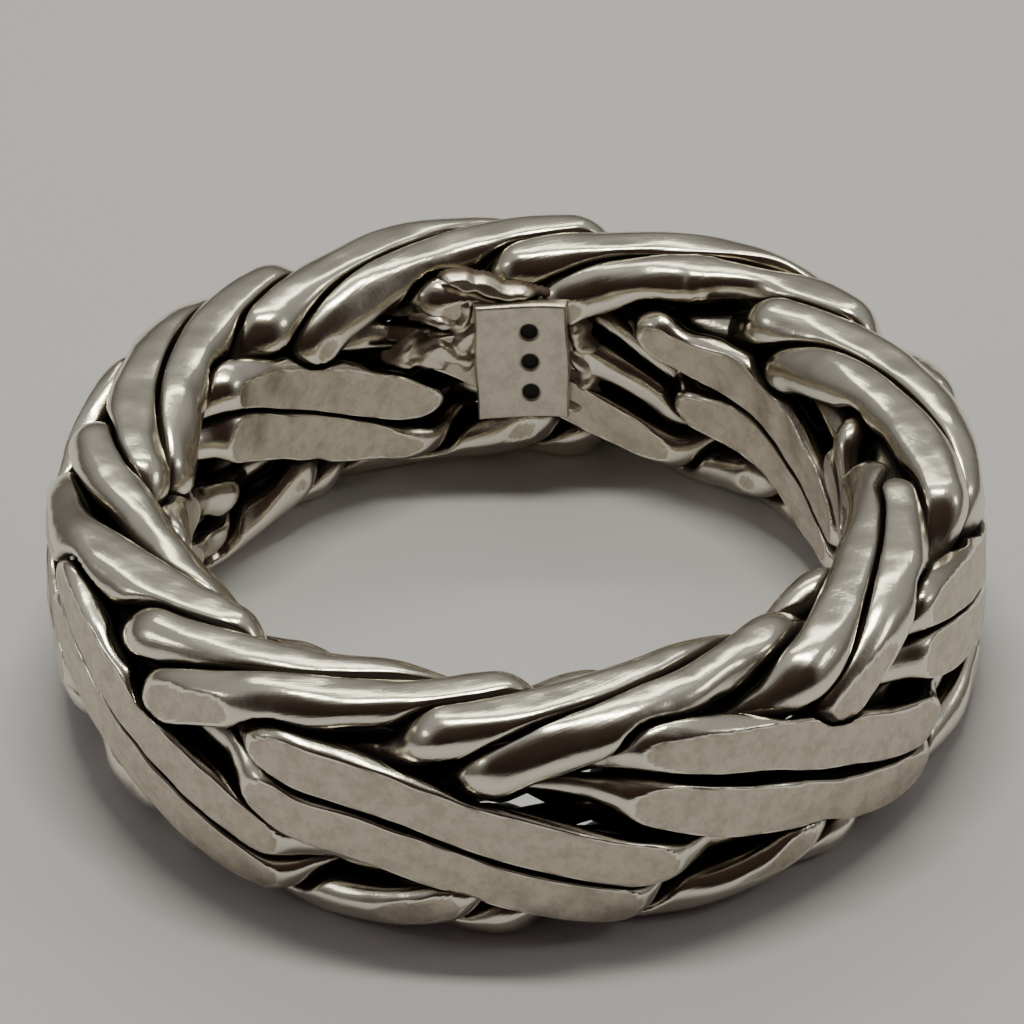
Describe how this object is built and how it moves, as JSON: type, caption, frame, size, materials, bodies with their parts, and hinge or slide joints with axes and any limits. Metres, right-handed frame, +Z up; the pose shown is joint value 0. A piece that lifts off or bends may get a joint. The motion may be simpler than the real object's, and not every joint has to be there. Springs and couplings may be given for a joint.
{
  "type": "braided band ring",
  "caption": "Finger ring whose band is a square braid of doubled silver wires closed into a ring, filed flat on its faces, with a small plain plate inside.",
  "frame": {"origin": "middle of the lower rim's plane, on the axis of the finger opening; the ring lies on its side", "axes": "+Z up along the axis of the finger opening, -Y towards the camera of the picture, +X to its right"},
  "size_m": [0.0276, 0.0276, 0.0075],
  "materials": {
    "wire_silver": "sterling silver, rounded wires polished, filed faces satin and scratched, recesses darkened",
    "plate_silver": "satin sterling silver sheet with three plain round punch marks and lumpy solder beside it"
  },
  "bodies": {
    "root": {"wall_strand_1_wire_a": "wire_silver", "wall_strand_1_wire_b": "wire_silver", "wall_strand_2_wire_a": "wire_silver", "wall_strand_2_wire_b": "wire_silver", "wall_strand_3_wire_a": "wire_silver", "wall_strand_3_wire_b": "wire_silver", "wall_strand_4_wire_a": "wire_silver", "wall_strand_4_wire_b": "wire_silver", "rim_strand_1_wire_a": "wire_silver", "rim_strand_1_wire_b": "wire_silver", "rim_strand_2_wire_a": "wire_silver", "rim_strand_2_wire_b": "wire_silver", "rim_strand_3_wire_a": "wire_silver", "rim_strand_3_wire_b": "wire_silver", "rim_strand_4_wire_a": "wire_silver", "rim_strand_4_wire_b": "wire_silver", "mark_plate": "plate_silver"}
  },
  "joints": []
}
